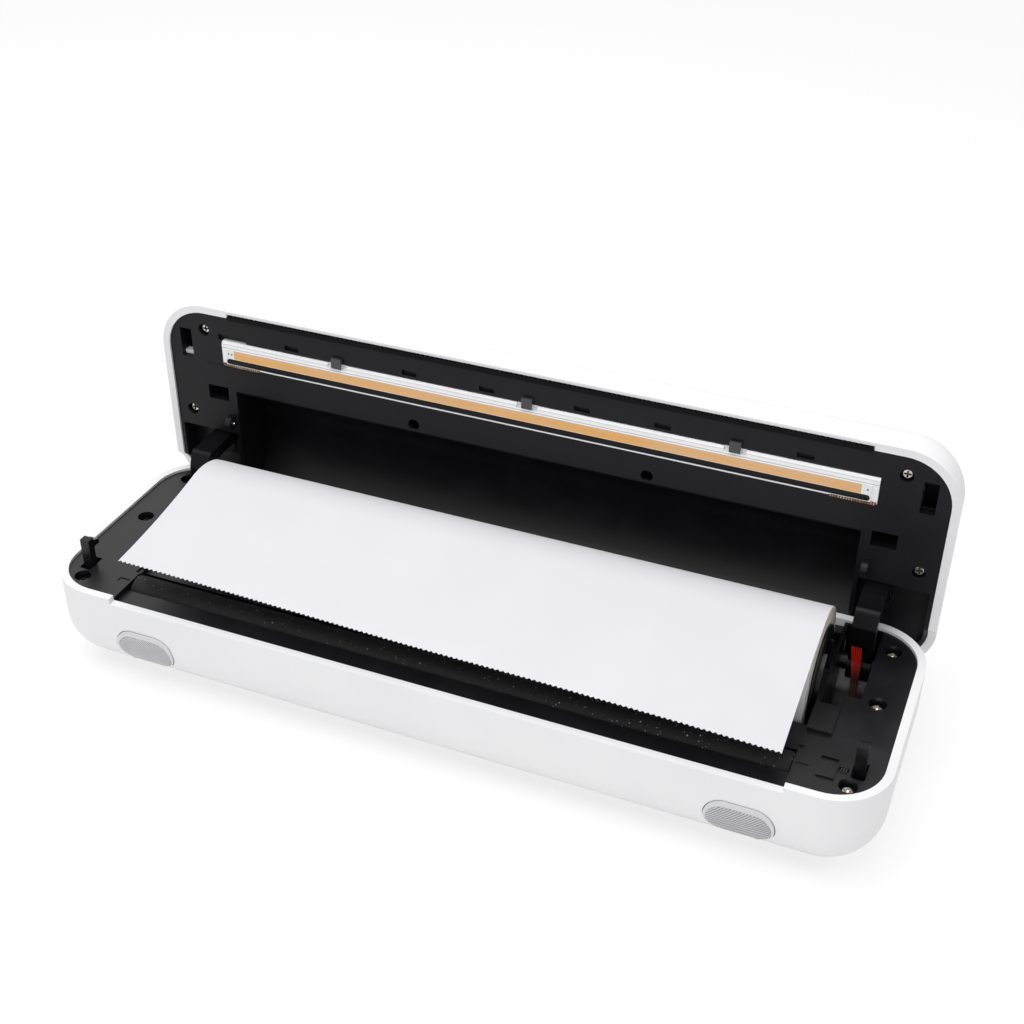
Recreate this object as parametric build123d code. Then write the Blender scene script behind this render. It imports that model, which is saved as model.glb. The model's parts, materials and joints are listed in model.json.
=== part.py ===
"""Portable A4 thermal printer with a hinged lid, drawn open as it stands while paper is loaded.

Millimetres. X runs along the length, Y from front to back, Z up. Shapes are drawn with Z = 0 on the
plane where base and lid meet, and the lid is drawn closed. At the end the lid is swung open about its
hinge and everything is lifted, so that the origin lies under the middle of the base, on the table.
"""
from build123d import *
import os
from itertools import pairwise
from math import acos, atan2, cos, degrees, hypot, pi, radians, sin, sqrt, tan

# ---------------------------------------------------------------- driving sizes
paper_width = 210.0
roll_diameter = 42.4
core_diameter = 16.0
core_bore = 13.0
web_thickness = 0.15
web_lift = 9.0            # the torn edge of the free paper stands this far above the parting plane
web_reach = 5.2           # and this far behind the front face

end_zone = 29.1           # from the paper's edge to the end of the case
front_zone = 30.4         # from the front face to the roll bay
rear_zone = 6.4           # from the roll bay to the rear face
plan_radius = 17.5        # corners of the case, seen from above
base_edge_radius = 17.0   # bottom edge of the base
lid_edge_radius = 17.0    # top edge of the lid
wall = 2.5                # walls and floor of the base, and the rims of both halves
lid_skin = 2.0            # lid above its rim
seam = 0.2                # gap between the rims when shut
fit_gap = 0.15            # between an inner moulding and the shell round it

roll_drop = 2.7           # roll axis below the parting plane
bay_clearance = 1.5       # round the roll, in the base
channel_clearance = 1.0   # round the roll, in the lid
moulding = 1.5            # thickness of the curved troughs
trough_gap = 1.6          # under the bay
ceiling_gap = 0.2         # over the lid's roll channel
mat_thickness = 1.0
mat_margin = 1.2          # mat edge inside the flat of the underside

deck_drop = 0.8           # side decks below the parting plane
deck_thickness = 2.2
mid_drop = 2.6            # middle of the deck, under the paper
mid_overhang = 2.2        # the lowered middle is this much wider than the paper, at each end
end_wall = 1.1
lip_drop = 1.8            # front lip, lowered for the paper
lip_overhang = 2.4

pivot_setback = 10.35     # hinge axis in front of the rear face
pivot_drop = 9.25         # and below the parting plane
swing_gap = 0.2
pin_radius = 2.5
running = 0.05            # radial clearance of what turns
hub_radius = 5.0
arm_inset = 2.6           # from the end of the bay to the arm
arm_width = 7.2
arm_thickness = 4.2
arm_gap = 1.0             # outside the arm, in its slot
ear_thickness = 1.3
skirt = 0.65              # thin walls under the deck, round the arm's slot
skirt_foot = -20.0
pin_seat = 0.3            # the pin stops this far outside the bay

platen_setback = 14.3     # platen axis behind the front face
platen_radius = 5.0
platen_core_radius = 3.4
nip_gap = 0.07            # between platen and head when shut
head_face = -0.72         # underside of the ceramic board, against the parting plane
glaze_thickness = 0.06
platen_overhang = 1.9
platen_channel_gap = 0.7  # round the platen, in its trough
shaft_radius = 2.0
bush_radius = 3.2

screw_radius = 1.3
screw_head_radius = 1.7
screw_head_height = 1.5
counterbore_radius = 2.7
counterbore_depth = 3.2
post_radius = 3.0
boss_radius = 4.0
lid_screw_radius = 1.0
lid_head_radius = 1.6
lid_head_height = 1.1
lid_counterbore = 2.1
lid_boss_height = 1.4     # bosses on the back of the lid plate, under the screw heads
tear_teeth = 134
tear_tooth = 0.5

# ---------------------------------------------------------------- sizes that follow
paper_half = paper_width / 2
roll_radius = roll_diameter / 2
bay_radius = roll_radius + bay_clearance
channel_radius = roll_radius + channel_clearance
half_length = paper_half + end_zone
depth = front_zone + 2 * bay_radius + rear_zone
half_depth = depth / 2
base_height = roll_drop + bay_radius + moulding + trough_gap + wall
lid_height = channel_radius - roll_drop + moulding + ceiling_gap + lid_skin
floor = wall - base_height
ceiling = lid_height - lid_skin
inner_half_length = half_length - wall
inner_half_depth = half_depth - wall
roll_y = half_depth - rear_zone - bay_radius
roll_z = -roll_drop
pivot_y = half_depth - pivot_setback
pivot_z = -pivot_drop
swing_radius = hypot(pivot_setback, pivot_setback) + swing_gap
platen_y = platen_setback - half_depth
platen_z = head_face - glaze_thickness - nip_gap - platen_radius
mid_half = paper_half + mid_overhang
bay_end = mid_half + end_wall
arm_inner = bay_end + arm_inset
arm_outer = arm_inner + arm_width
slot_outer = arm_outer + arm_gap
deck_top = -deck_drop
deck_under = deck_top - deck_thickness
mid_top = -mid_drop
mid_under = mid_top - deck_thickness
table = base_height + mat_thickness


# ---------------------------------------------------------------- shape helpers
def block(x0, x1, y0, y1, z0, z1):
    return Pos((x0 + x1) / 2, (y0 + y1) / 2, (z0 + z1) / 2) * Box(x1 - x0, y1 - y0, z1 - z0)


def rod_x(x0, x1, y, z, radius):
    return Pos((x0 + x1) / 2, y, z) * Rot(0, 90, 0) * Cylinder(radius, x1 - x0)


def rod_y(x, y0, y1, z, radius):
    return Pos(x, (y0 + y1) / 2, z) * Rot(90, 0, 0) * Cylinder(radius, y1 - y0)


def rod_z(x, y, z0, z1, radius):
    return Pos(x, y, (z0 + z1) / 2) * Cylinder(radius, z1 - z0)


def prism_x(points, x0, x1):
    """A prism along X over an outline of (y, z) points."""
    outline = Polyline([Vector(x0, y, z) for y, z in points], close=True)
    return extrude(make_face(outline), amount=x1 - x0, dir=(1, 0, 0))


def plate_z(outline, z0, z1):
    return extrude(Pos(0, 0, z0) * outline, amount=z1 - z0)


def strap(points, thickness, x0, x1):
    """A bar of even thickness through (y, z) points, with round knees."""
    bar = rod_x(x0, x1, *points[0], thickness / 2)
    for (ya, za), (yb, zb) in pairwise(points):
        run = hypot(yb - ya, zb - za)
        turn = degrees(atan2(zb - za, yb - ya))
        middle = Pos((x0 + x1) / 2, (ya + yb) / 2, (za + zb) / 2)
        bar += middle * Rot(turn, 0, 0) * Box(x1 - x0, run, thickness)
        bar += rod_x(x0, x1, yb, zb, thickness / 2)
    return bar


def mirrored(shape):
    return mirror(shape, about=Plane.YZ)


def sides(make):
    """The right-hand piece that make() gives, and its mirror image."""
    right = make()
    return right + mirrored(right)


def plan(grow=0.0):
    """The case's outline from above, grown or, below zero, shrunk."""
    return RectangleRounded(2 * (half_length + grow), 2 * (half_depth + grow), plan_radius + grow)


def base_form(grow=0.0):
    """The base's outside, or with grow below zero its cavity."""
    form = plate_z(plan(grow), -base_height - grow, 0)
    return fillet(form.faces().sort_by(Axis.Z)[0].edges(), base_edge_radius + grow)


def lid_form(grow, skin_grow):
    form = plate_z(plan(grow), 0, lid_height + skin_grow)
    return fillet(form.faces().sort_by(Axis.Z)[-1].edges(), lid_edge_radius + skin_grow)


def at_corners(points, make):
    """make(x, y) at each of the (x, y) points and at their mirror images."""
    group = None
    for x, y in points:
        for side in (1, -1):
            piece = make(side * x, y)
            group = piece if group is None else group + piece
    return group


def cross_recess(x, y, z_top):
    """A cross recess in a screw head."""
    slot = block(-1.1, 1.1, -0.3, 0.3, -0.9, 0.1)
    return Pos(x, y, z_top) * (slot + Rot(0, 0, 90) * slot)


def screw_down(x, y, head_under, tip):
    """A pan-head screw with its head up."""
    head = rod_z(x, y, head_under, head_under + screw_head_height, screw_head_radius)
    head = fillet(head.edges().sort_by(Axis.Z)[-1], 0.5)
    shank = rod_z(x, y, tip, head_under, screw_radius)
    return head + shank - cross_recess(x, y, head_under + screw_head_height)


# ---------------------------------------------------------------- places that several pieces share
deck_screws = [
    (half_length - 10.9, 8.5 - half_depth),
    (half_length - 10.2, roll_y - 8.0),
    (half_length - 10.6, half_depth - 11.4),
]
deck_screw_seat = deck_top - counterbore_depth
post_top = deck_screw_seat - 2.2
boss_bottom = post_top + 0.05
deck_screw_tip = post_top - 8.0

lid_screws = [(half_length - 16.6, 9.1 - half_depth), (half_length - 8.4, roll_y - 11.9)]
lid_plate_under = 0.8
lid_plate_top = 2.8
lid_boss_top = lid_plate_top + lid_boss_height
lid_screw_seat = lid_boss_top - 1.0
head_gap = 0.3            # round the head, in the lid plate
stop_hole_x = 40.0
stop_hole_radius = 2.0
snap_places = (-84, -41, -14, 18, 44, 88)
window_depth = 6.0        # pockets behind the windows, with thin walls
pocket_wall = 1.0
boss_x = (bay_end + 0.8, bay_end + 2.8)
boss_y = roll_y - 10.2
boss_z = -0.3
guide_boss_radius = 2.4
left_slot_x = (-112.0, -101.4)
left_slot_depth = 2.1     # in front of the head
left_ridge_x = (-117.6, -97.0)
left_ridge_setback = 1.0  # behind the head
lid_window_x = (bay_end + 2.0, bay_end + 9.8)
lid_window_y = (roll_y - 23.3, roll_y - 18.0)

latch_outer = half_length - 7.6
latch_inner = latch_outer - 3.2
rocker_y = 5.5 - half_depth
rocker_z = -13.6
rocker_radius = 1.6
rocker_end = latch_inner - 5.1
hook_front = 13.8 - half_depth
hook_rear = hook_front + 2.6
hook_gap = 1.9            # in front of the hook, in the deck; it leans that way when released
barb_reach = 2.6
barb_under = 5.4
hook_top = 8.8
crossbar_z = (-11.8, -8.6)
latch_slot_x = (latch_inner - 0.6, latch_outer + 0.6)
housing_roof = 10.6
latch_spring_radii = (1.3, 0.8)

bay_front_y = front_zone - half_depth
slot_front = roll_y - 8.0
shallow_x = (bay_end - 0.3, bay_end + 3.3)
shallow_y = (hook_front - 3.3, hook_front - 1.3)
well_outer = bay_end + 5.4
well_front = slot_front - 6.2
side_pad_top = 0.4
front_pad_x = (bay_end + 5.7, bay_end + 10.7)
front_pad_y = (hook_front - 4.7, hook_front + 1.8)
front_pad_top = -0.2
groove_x = (bay_end + 5.7, bay_end + 10.5)
groove_y = (hook_front + 2.4, hook_front + 4.0)
pocket_x = (latch_inner - 3.9, latch_inner - 1.1)
pocket_y = (hook_front - 1.3, hook_front + 1.3)
pocket_depth = 0.8
pocket_ribs = 3

bracket_x = [(bay_end + 0.5, bay_end + 1.9), (bay_end + 4.9, bay_end + 6.5)]
rocker_seat = rocker_radius + running

button_x = paper_half - 8.5
button_z = -16.9
button_length = 20.4
button_height = 12.4
button_gap = 0.25
button_proud = 0.5
button_skin = 1.9
paddle_z = rocker_z - 8.0
stem_x = button_x + 5.5
stem_radius = 1.2
paddle_front = rocker_y + 0.7

power_y = roll_y + 2.0
power_z = -11.0
power_radius = 4.5
light_y = power_y + 7.5
light_radius = 1.0
usb_y = platen_y + 6.8
usb_z = -19.4
usb_body = (8.9, 3.2)
usb_mouth = (8.3, 2.6)
usb_case_slot = (9.2, 3.6)
board_top = -21.0
board_thickness = 1.6
board_gap = 3.2           # from the roll bay
battery_gap = 2.4
chips = [(-108, 12, 12, 1.4), (-88, 9, 9, 1.2), (-70, 6, 14, 4.5), (-52, 10, 6, 2.0), (-34, 14, 8, 1.6)]
battery_x = (-8, 84)
battery_height = 9.2
wire_pitch = 0.8
wire_radius = 0.36
wire_inset = 2.4          # the middle wire, from the arm's inner side
wire_lean = 0.14          # the wires lean inwards as they rise
arm_window_half = 2.3
arm_window_y = (pivot_y - 11.6, pivot_y - 4.7)
arm_window_floor = pivot_z - 3.9

gear_frame_x = mid_half + end_wall + 0.2
gear_frame_thickness = 0.8
fine_module = 0.4
coarse_module = 0.5
platen_teeth = 13
idler_small_teeth = 12
idler_large_teeth = 36
pinion_teeth = 12
idler_drop = 4.95
motor_drop = 14.4         # a thicker platen pushes the motor back and up, clear of the trough
idler_reach = coarse_module * (platen_teeth + idler_small_teeth) / 2
pinion_reach = fine_module * (idler_large_teeth + pinion_teeth) / 2
idler_z = platen_z - idler_drop
idler_y = platen_y + sqrt(idler_reach**2 - (idler_z - platen_z) ** 2)
pinion_z = idler_z - motor_drop + platen_radius
pinion_y = idler_y + sqrt(pinion_reach**2 - (pinion_z - idler_z) ** 2)
sensor_x = (26.0, 34.0)
sensor_y = (platen_y + 6.6, bay_front_y - 1.9)

motor_radius = 7.4
motor_length = 16.0
idler_pin_radius = 1.0

head_front = platen_y - 2.8
head_rear = platen_y + 5.9
head_half = paper_half + 5.5
glaze_y = head_front + 3.9    # the heater line lies before the glaze's middle, over the platen's axis
ceramic_front = head_front + 2.3
ceramic_rear = glaze_y + 3.9
ceramic_half = head_half - 2.0
head_bevel = 0.8
heatsink_height = 4.5
glaze_half = 1.55
glaze_reach = paper_half + 0.5
driver_setback = 2.75
driver_half = 1.0
driver_height = 0.3
driver_reach = ceramic_half - 0.2
contact_x = (head_half - 14.0, head_half - 0.3)
contact_width = 0.8
spring_height = 5.0
spring_radii = (2.4, 1.7)
spring_places = (-92, -31, 31, 92)
clip_places = (-67, 0, 67)
clip_half = 1.8
clip_notch = (3.5, 1.5, 1.2)    # half length, depth and height of the notch for a clip
bracket_legs = (-104, -62, 0, 62, 104)


# ---------------------------------------------------------------- base
def button_outline(grow=0.0):
    """The release button's obround, as a bar along Y at the front of the base."""
    outline = SlotOverall(button_length + 2 * grow, button_height + 2 * grow)
    lying = Pos(button_x, -half_depth - 5, button_z) * Rot(-90, 0, 0) * outline
    return extrude(lying, amount=half_depth - 15, dir=(0, 1, 0))


def screw_post(x, y):
    post = rod_z(x, y, -base_height, post_top, post_radius)
    return post - rod_z(x, y, deck_screw_tip, post_top, screw_radius)


def rocker_bracket(x0, x1):
    """A rib on the front wall with the bearing of the latch rocker."""
    rib = block(x0, x1, -half_depth + wall / 2, rocker_y + 2.8, rocker_z - 3, rocker_z + 3)
    return rib - rod_x(x0, x1, rocker_y, rocker_z, rocker_seat)


def base_shell():
    form = base_form()
    shell = form - base_form(-wall)
    posts = at_corners(deck_screws, screw_post) & form
    shell += posts
    for reach in bracket_x:
        shell += sides(lambda: rocker_bracket(*reach))
    lip = paper_half + lip_overhang
    shell -= block(-lip, lip, -half_depth - 1, -inner_half_depth + 0.5, -lip_drop, 1)
    shell -= sides(lambda: button_outline(button_gap))
    shell -= rod_x(-half_length - 1, -inner_half_length + 1, power_y, power_z, power_radius + fit_gap)
    shell -= rod_x(-half_length - 1, -inner_half_length + 1, light_y, power_z, light_radius)
    inlet = extrude(Plane.YZ * SlotOverall(*usb_case_slot), amount=12, dir=(1, 0, 0))
    return shell - Pos(-half_length - 2, usb_y, usb_z) * inlet


def base_mat():
    reach = base_edge_radius + mat_margin
    outline = RectangleRounded(2 * (half_length - reach), 2 * (half_depth - reach), 6)
    return plate_z(outline, -base_height - mat_thickness, -base_height)


def trough(radius, y, z, x_end):
    """The lower half of a thin tube with closed ends, for the roll or the platen."""
    bed = rod_x(-x_end, x_end, y, z, radius + moulding)
    return bed - block(-x_end, x_end, y - radius - 9, y + radius + 9, z, z + radius + 9)


def hinge_ear():
    """Carries the outer end of a hinge pin under the deck."""
    ear_z = pivot_z - 5.0
    ear = block(slot_outer, slot_outer + ear_thickness, pivot_y - 5, pivot_y + 5, ear_z, deck_under + 0.5)
    return ear - rod_x(slot_outer, slot_outer + ear_thickness, pivot_y, pivot_z, pin_radius)


def chassis():
    outline = plan(-wall - fit_gap)
    deck = plate_z(outline, mid_under, deck_top)
    deck -= sides(lambda: block(bay_end, half_length, -half_depth, half_depth, mid_under - 1, deck_under))
    deck -= block(-mid_half, mid_half, -half_depth, half_depth, mid_top, 1)
    deck += trough(bay_radius, roll_y, roll_z, bay_end)
    end_cheek = block(mid_half, bay_end, bay_front_y - moulding, roll_y + bay_radius, roll_z, deck_top)
    deck += sides(lambda: end_cheek)
    deck += trough(platen_radius + platen_channel_gap, platen_y, platen_z, bay_end)
    deck += sides(lambda: block(mid_half, bay_end, platen_y - 6, platen_y + 6, platen_z - 2, deck_top))
    bosses = at_corners(deck_screws, lambda x, y: rod_z(x, y, boss_bottom, deck_under + 0.5, boss_radius))
    deck += bosses & plate_z(outline, -base_height, 0)
    deck += sides(hinge_ear)
    rear = inner_half_depth - 0.8
    skirt_z = (skirt_foot, deck_under + 0.5)
    skirts = block(slot_outer, slot_outer + skirt, slot_front - skirt, rear + skirt, *skirt_z)
    skirts += block(bay_end, slot_outer + skirt, rear, rear + skirt, *skirt_z)
    skirts -= rod_x(slot_outer, slot_outer + skirt, pivot_y, pivot_z, pin_radius)
    deck += sides(lambda: skirts & base_form(-wall - fit_gap))
    # openings from above
    deck -= rod_x(-mid_half, mid_half, roll_y, roll_z, bay_radius)
    deck -= block(-mid_half, mid_half, roll_y - bay_radius, roll_y + bay_radius, roll_z, 1)
    deck -= rod_x(-mid_half, mid_half, platen_y, platen_z, platen_radius + platen_channel_gap)
    deck -= block(-mid_half, mid_half, platen_y - 4.9, platen_y + 4.9, platen_z, 1)
    deck -= sides(lambda: block(bay_end, slot_outer, slot_front, rear, deck_under - 9, 1))
    hook_hole = block(latch_inner - 0.4, latch_outer + 0.4, hook_front - hook_gap, hook_rear + 2.4, -7, 1)
    deck -= sides(lambda: hook_hole)
    deck -= at_corners(deck_screws, lambda x, y: rod_z(x, y, deck_screw_seat, 1, counterbore_radius))
    deck -= at_corners(deck_screws, lambda x, y: rod_z(x, y, -30, 1, screw_radius))
    # seats for the pins, bushes and the platen's gear
    deck -= sides(lambda: rod_x(mid_half + pin_seat, bay_end + 3, pivot_y, pivot_z, pin_radius))
    deck -= sides(lambda: rod_x(mid_half - 0.1, bay_end + 0.1, platen_y, platen_z, bush_radius))
    strip_y = glaze_y + driver_setback
    strip_room = block(mid_half, driver_reach + 0.4, strip_y - 1.5, strip_y + 1.5, deck_top - 0.6, 1)
    deck -= sides(lambda: strip_room)
    gear_room = block(bay_end, bay_end + 5.5, platen_y - 4.6, platen_y + 4.6, -9, deck_top - 1.1)
    deck -= gear_room
    deck -= block(*sensor_x, *sensor_y, mid_under - 1, 1)
    deck -= sides(lambda: block(*shallow_x, *shallow_y, deck_top - 0.3, 1))
    deck -= sides(lambda: block(bay_end, well_outer, well_front, slot_front, deck_under - 9, 1))
    # only the right-hand deck has these
    deck -= block(*groove_x, *groove_y, deck_top - 0.7, 1)
    deck += block(bay_end - 0.7, bay_end + 6.3, bay_front_y - 4.3, well_front - 0.6, deck_top, side_pad_top)
    deck += block(*front_pad_x, *front_pad_y, deck_top, front_pad_top)
    deck -= block(*pocket_x, *pocket_y, deck_top - pocket_depth, 1)
    for number in range(pocket_ribs):
        x = pocket_x[0] + (pocket_x[1] - pocket_x[0]) * (number + 1) / (pocket_ribs + 1)
        deck += block(x - 0.17, x + 0.17, *pocket_y, deck_top - pocket_depth, deck_top - 0.2)
    return deck


def deck_screw_set():
    return at_corners(deck_screws, lambda x, y: screw_down(x, y, deck_screw_seat, deck_screw_tip))


def hinge_pin():
    return rod_x(mid_half + pin_seat, slot_outer + ear_thickness, pivot_y, pivot_z, pin_radius)


# ---------------------------------------------------------------- feed: platen, gears and motor
def involute_point(base_radius, radius, start):
    """The point of an involute at a radius, as (angle, radius)."""
    roll = acos(base_radius / radius)
    return start + tan(roll) - roll, radius


def gear(module, teeth, x0, x1, y, z, bore, phase):
    """A spur gear about an X axis. phase is where one tooth points, in degrees from +Y towards +Z."""
    pitch_radius = module * teeth / 2
    pressure = radians(20)
    base_radius = pitch_radius * cos(pressure)
    tip_radius = pitch_radius + 0.8 * module
    root_radius = pitch_radius - 1.05 * module
    thinning = 0.1 / pitch_radius
    half_tooth = pi / (2 * teeth) - thinning / 2
    half_base = half_tooth + tan(pressure) - pressure
    low = max(base_radius, root_radius)
    radii = [low + (tip_radius - low) * step / 4 for step in range(5)]
    flank = [involute_point(base_radius, max(radius, base_radius * 1.0001), -half_base) for radius in radii]
    if root_radius < base_radius:
        flank.insert(0, (-half_base, root_radius))
    tooth = flank + [(-angle, radius) for angle, radius in reversed(flank)]
    outline = []
    for number in range(teeth):
        middle = radians(phase) + 2 * pi * number / teeth
        outline += [(y + r * cos(middle + a), z + r * sin(middle + a)) for a, r in tooth]
    blank = prism_x(outline, x0, x1)
    return blank - rod_x(x0, x1, y, z, bore)


def heading(y0, z0, y1, z1):
    return degrees(atan2(z1 - z0, y1 - y0))


to_idler = heading(platen_y, platen_z, idler_y, idler_z)
to_pinion = heading(idler_y, idler_z, pinion_y, pinion_z)
platen_gear_x = (gear_frame_x + gear_frame_thickness + 0.4, gear_frame_x + gear_frame_thickness + 2.4)
idler_small_x = (platen_gear_x[0] - 0.2, platen_gear_x[1] + 0.2)
idler_large_x = (idler_small_x[1], idler_small_x[1] + 1.6)
pinion_x = (idler_large_x[0] - 0.2 + 0.4, idler_large_x[1] + 0.2)
gear_cover_x = (idler_large_x[1] + 0.5, idler_large_x[1] + 1.4)


def platen_shaft():
    return rod_x(-bay_end - 0.1, platen_gear_x[1] + 0.05, platen_y, platen_z, shaft_radius)


def platen_core():
    reach = paper_half + platen_overhang
    return rod_x(-reach, reach, platen_y, platen_z, platen_core_radius) - rod_x(
        -reach, reach, platen_y, platen_z, shaft_radius
    )


def platen_rubber():
    reach = paper_half + platen_overhang
    sleeve = rod_x(-reach, reach, platen_y, platen_z, platen_radius)
    sleeve = chamfer(sleeve.edges(), 0.25)
    return sleeve - rod_x(-reach, reach, platen_y, platen_z, platen_core_radius)


def platen_gear():
    return gear(coarse_module, platen_teeth, *platen_gear_x, platen_y, platen_z, shaft_radius, to_idler)


def platen_bush():
    ring = rod_x(mid_half, bay_end, platen_y, platen_z, bush_radius)
    return ring - rod_x(mid_half, bay_end, platen_y, platen_z, shaft_radius + running)


def idler_gear():
    half_pitch = 180 / idler_small_teeth
    bore = idler_pin_radius + running
    small = gear(
        coarse_module, idler_small_teeth, *idler_small_x, idler_y, idler_z, bore, to_idler + 180 + half_pitch
    )
    large = gear(fine_module, idler_large_teeth, *idler_large_x, idler_y, idler_z, bore, to_pinion)
    return small + large


def motor_pinion():
    half_pitch = 180 / pinion_teeth
    return gear(fine_module, pinion_teeth, *pinion_x, pinion_y, pinion_z, 1.0, to_pinion + 180 + half_pitch)


def motor_shaft():
    return rod_x(gear_frame_x - motor_length + 2, pinion_x[1], pinion_y, pinion_z, 1.0)


def stepper_motor():
    can = rod_x(gear_frame_x - motor_length, gear_frame_x, pinion_y, pinion_z, motor_radius)
    can = chamfer(can.edges().sort_by(Axis.X)[0], 0.8)
    can += block(
        gear_frame_x - motor_length + 3, gear_frame_x - 3, pinion_y + 4, pinion_y + motor_radius + 2.4,
        pinion_z - 3, pinion_z + 3,
    )
    return can - rod_x(gear_frame_x - motor_length + 2, gear_frame_x, pinion_y, pinion_z, 1.0 + running)


gear_posts = [(platen_y + 12.4, platen_z - 1.0), (platen_y - 3.4, idler_z - 6.4)]


def gear_frame():
    x0 = gear_frame_x
    x1 = gear_frame_x + gear_frame_thickness
    sheet = block(x0, x1, platen_y - 5.0, platen_y + 14.2, pinion_z - 4.6, deck_under - 0.2)
    sheet -= rod_x(x0, x1, platen_y, platen_z, shaft_radius + 0.5)
    sheet -= rod_x(x0, x1, pinion_y, pinion_z, 1.6)
    sheet -= rod_x(x0, x1, idler_y, idler_z, idler_pin_radius)
    for y, z in gear_posts:
        sheet += rod_x(x1, gear_cover_x[0], y, z, 1.5)
    return sheet


def gear_cover():
    sheet = block(*gear_cover_x, platen_y - 5.0, platen_y + 14.2, idler_z - 8.4, deck_under - 0.2)
    return sheet - rod_x(*gear_cover_x, idler_y, idler_z, idler_pin_radius)


def idler_pin():
    return rod_x(gear_frame_x, gear_cover_x[1], idler_y, idler_z, idler_pin_radius)


# ---------------------------------------------------------------- roll and paper
cap_flange_end = paper_half + 0.8
holder_x = (cap_flange_end + 0.1, mid_half)
stub_radius = 3.0
cap_flange_radius = 16.0


def paper_roll():
    wound = rod_x(-paper_half, paper_half, roll_y, roll_z, roll_radius)
    return wound - rod_x(-paper_half, paper_half, roll_y, roll_z, core_diameter / 2)


def roll_core():
    tube = rod_x(-paper_half, paper_half, roll_y, roll_z, core_diameter / 2)
    return tube - rod_x(-paper_half, paper_half, roll_y, roll_z, core_bore / 2)


def roll_cap():
    plug = rod_x(paper_half - 9, paper_half, roll_y, roll_z, core_bore / 2)
    flange = rod_x(paper_half + 0.05, cap_flange_end, roll_y, roll_z, cap_flange_radius)
    neck = rod_x(paper_half, paper_half + 0.05, roll_y, roll_z, core_bore / 2)
    stub = rod_x(cap_flange_end, holder_x[1] - 0.15, roll_y, roll_z, stub_radius)
    return plug + neck + flange + stub


def roll_holder():
    """A plate in the end of the bay with an open slot that the roll's stub drops into."""
    x0, x1 = holder_x
    plate = rod_x(x0, x1, roll_y, roll_z, 11.5)
    plate += block(x0, x1, roll_y - 11.5, roll_y + 11.5, roll_z - 18.0, roll_z)
    plate -= rod_x(x0, x1, roll_y, roll_z, stub_radius + running)
    slot_half = stub_radius + running
    return plate - block(x0, x1, roll_y - slot_half, roll_y + slot_half, roll_z, roll_z + 13)


def paper_web():
    """The free paper: off the top of the roll and forward to the torn edge."""
    inner = roll_radius + 0.1
    outer = inner + web_thickness
    tip_y = web_reach - half_depth
    far = hypot(tip_y - roll_y, web_lift - roll_z)
    leave = atan2(web_lift - roll_z, tip_y - roll_y) - acos(inner / far)
    start = radians(62)

    def on_roll(radius, angle):
        return Vector(-paper_half, roll_y + radius * cos(angle), roll_z + radius * sin(angle))

    rise = Vector(0, web_thickness * cos(leave), web_thickness * sin(leave))
    tip = Vector(-paper_half, tip_y, web_lift)
    middle = (start + leave) / 2
    outline = [
        ThreePointArc(on_roll(inner, start), on_roll(inner, middle), on_roll(inner, leave)),
        Line(on_roll(inner, leave), tip),
        Line(tip, tip + rise),
        Line(tip + rise, on_roll(outer, leave)),
        ThreePointArc(on_roll(outer, leave), on_roll(outer, middle), on_roll(outer, start)),
        Line(on_roll(outer, start), on_roll(inner, start)),
    ]
    return extrude(make_face(outline), amount=2 * paper_half, dir=(1, 0, 0))


# ---------------------------------------------------------------- latches and buttons
def latch_lever():
    """Rocker with a paddle behind the release button and a hook that stands up through the deck."""
    rocker = rod_x(stem_x - 2.0, rocker_end, rocker_y, rocker_z, rocker_radius)
    paddle = block(stem_x - 2.0, stem_x + 2.0, paddle_front, paddle_front + 1.4, paddle_z - 1.4, rocker_z)
    arm_end = (hook_front + 1.6, (crossbar_z[0] + crossbar_z[1]) / 2)
    arm = strap([(rocker_y, rocker_z), arm_end], 3.2, rocker_end - 2.2, rocker_end)
    crossbar = block(rocker_end - 2.2, latch_outer, hook_front, hook_rear + 0.6, *crossbar_z)
    post = block(latch_inner, latch_outer, hook_front, hook_rear, crossbar_z[0], hook_top)
    barb = prism_x(
        [(hook_rear - 1.2, hook_top - 0.8), (hook_rear - 1.2, barb_under),
         (hook_rear + barb_reach, barb_under), (hook_rear + barb_reach, barb_under + 1.4),
         (hook_rear, hook_top - 0.8)],
        latch_inner, latch_outer,
    )
    return rocker + paddle + arm + crossbar + post + barb


def latch_spring():
    """Presses the hook back to its place."""
    x = rocker_end + 2.9
    y = hook_front + 1.6
    outer, inner = (rod_z(x, y, crossbar_z[1], deck_under, radius) for radius in latch_spring_radii)
    return outer - inner


def release_button():
    front = block(0, half_length, -half_depth - 2, -half_depth / 2, -base_height, 0)
    cap = (button_outline() & base_form(button_proud) & front) - base_form(-button_skin)
    stem = rod_y(stem_x, -half_depth + 1.6, paddle_front - 0.1, paddle_z, stem_radius)
    return cap + stem


def power_button():
    outer_end = half_length + 0.3
    inside = -inner_half_length + 0.45
    cap = rod_x(-outer_end, inside, power_y, power_z, power_radius)
    cap = fillet(cap.edges().sort_by(Axis.X)[0], 0.5)
    flange = rod_x(inside, inside + 0.8, power_y, power_z, power_radius + 0.9)
    stem = rod_x(inside + 0.8, inside + 3.4, power_y, power_z, 1.5)
    return cap + flange + stem


# ---------------------------------------------------------------- electronics
small_board_x = -inner_half_length + 7.6


def tact_switch():
    return block(small_board_x - 3.0, small_board_x, power_y - 3, power_y + 3, power_z - 3, power_z + 3)


def button_board():
    x1 = small_board_x + 1.2
    front = deck_screws[1][1] + boss_radius + 0.4
    return block(small_board_x, x1, front, light_y + light_radius + 0.05, power_z - 9, power_z + 7)


def light_pipe():
    return rod_x(-half_length, small_board_x, light_y, power_z, light_radius)


def bay_front(z):
    """The front of the roll bay's outside at a height."""
    outside = bay_radius + moulding
    return roll_y - sqrt(outside**2 - (roll_z - z) ** 2)


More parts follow.
